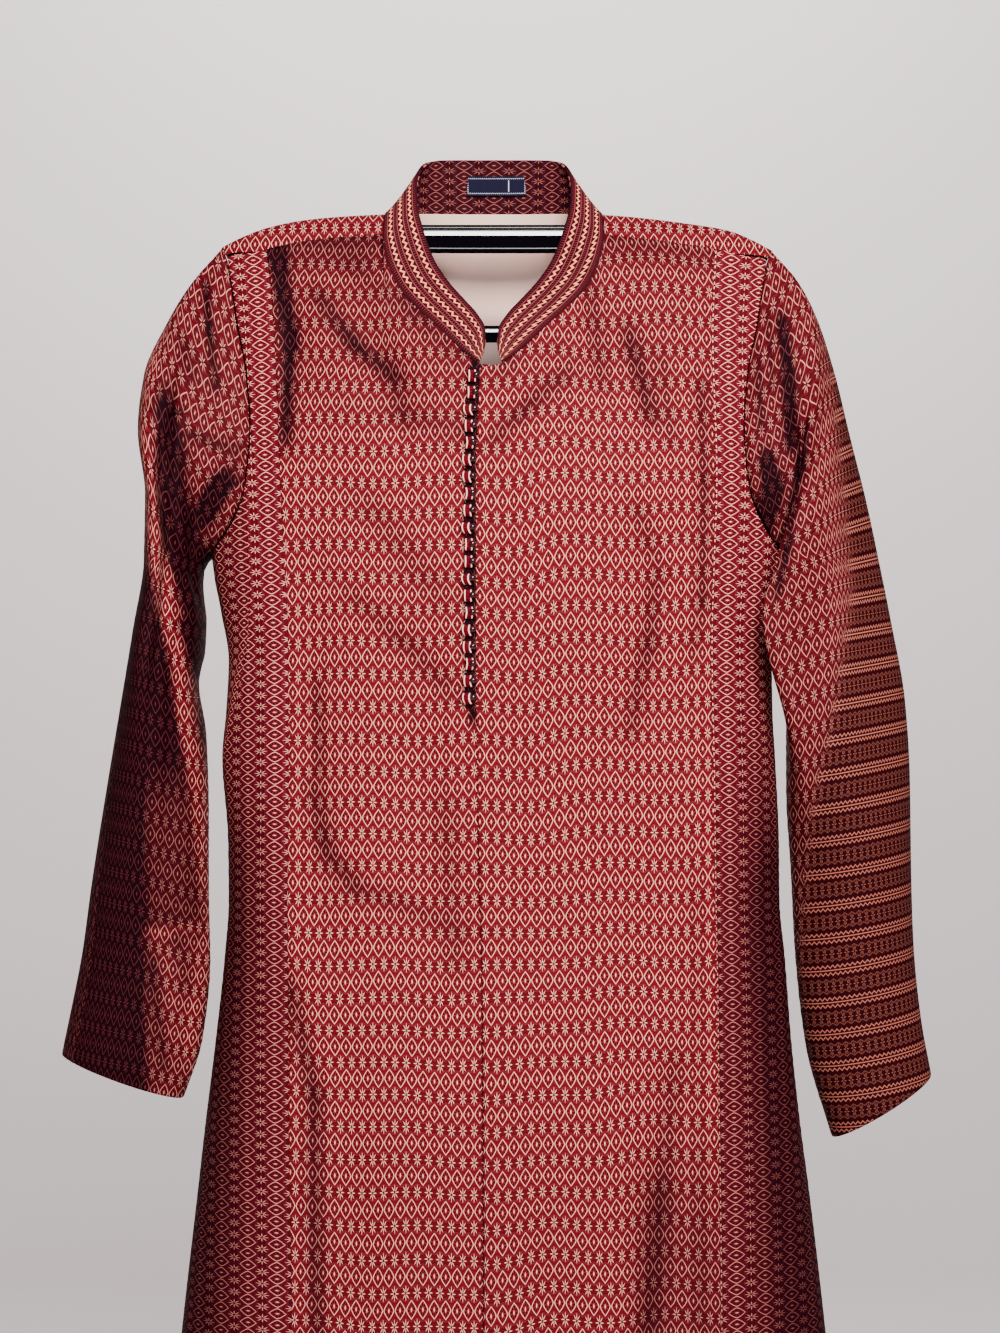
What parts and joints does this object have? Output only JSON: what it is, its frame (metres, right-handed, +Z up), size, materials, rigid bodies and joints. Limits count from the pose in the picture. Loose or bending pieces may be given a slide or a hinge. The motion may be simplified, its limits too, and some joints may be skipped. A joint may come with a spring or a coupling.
{
  "type": "sherwani coat on a hanger",
  "caption": "Long brocade coat with a stand collar, looped ball-button front and two-piece sleeves, hung on a slim two-bar hanger.",
  "frame": {"origin": "middle of the hanger's top bar, where the coat is held", "axes": "+Z up along the coat's length, the front faces -Y, +X is the viewer's right"},
  "size_m": [0.678, 0.174, 1.0536],
  "materials": {
    "brocade": "silky jacquard weave, crimson and maroon with cream motifs",
    "collar_brocade": "silky jacquard weave with zigzag bands",
    "lining": "plain beige lining, soft sheen",
    "label": "dark blue woven label, bare",
    "rouleau": "rolled cloth cord",
    "button": "dark covered ball, slightly glossy",
    "hanger": "polished black"
  },
  "bodies": {
    "root": {"front_left": "brocade", "side_front_left": "brocade", "side_back_left": "brocade", "top_sleeve_left": "brocade", "under_sleeve_left": "brocade", "front_right": "brocade", "side_front_right": "brocade", "side_back_right": "brocade", "top_sleeve_right": "brocade", "under_sleeve_right": "brocade", "back_left": "brocade", "back_right": "brocade", "back_lining": "lining", "collar_outer": "collar_brocade", "collar_facing": "brocade", "neck_label": "label", "hanger": "hanger", "loop_01": "rouleau", "button_01": "button", "loop_02": "rouleau", "button_02": "button", "loop_03": "rouleau", "button_03": "button", "loop_04": "rouleau", "button_04": "button", "loop_05": "rouleau", "button_05": "button", "loop_06": "rouleau", "button_06": "button", "loop_07": "rouleau", "button_07": "button", "loop_08": "rouleau", "button_08": "button", "loop_09": "rouleau", "button_09": "button", "loop_10": "rouleau", "button_10": "button", "loop_11": "rouleau", "button_11": "button", "loop_12": "rouleau", "button_12": "button", "loop_13": "rouleau", "button_13": "button", "loop_14": "rouleau", "button_14": "button", "loop_15": "rouleau", "button_15": "button", "loop_16": "rouleau", "button_16": "button", "loop_17": "rouleau", "button_17": "button", "loop_18": "rouleau", "button_18": "button", "loop_19": "rouleau", "button_19": "button", "loop_20": "rouleau", "button_20": "button"}
  },
  "joints": []
}
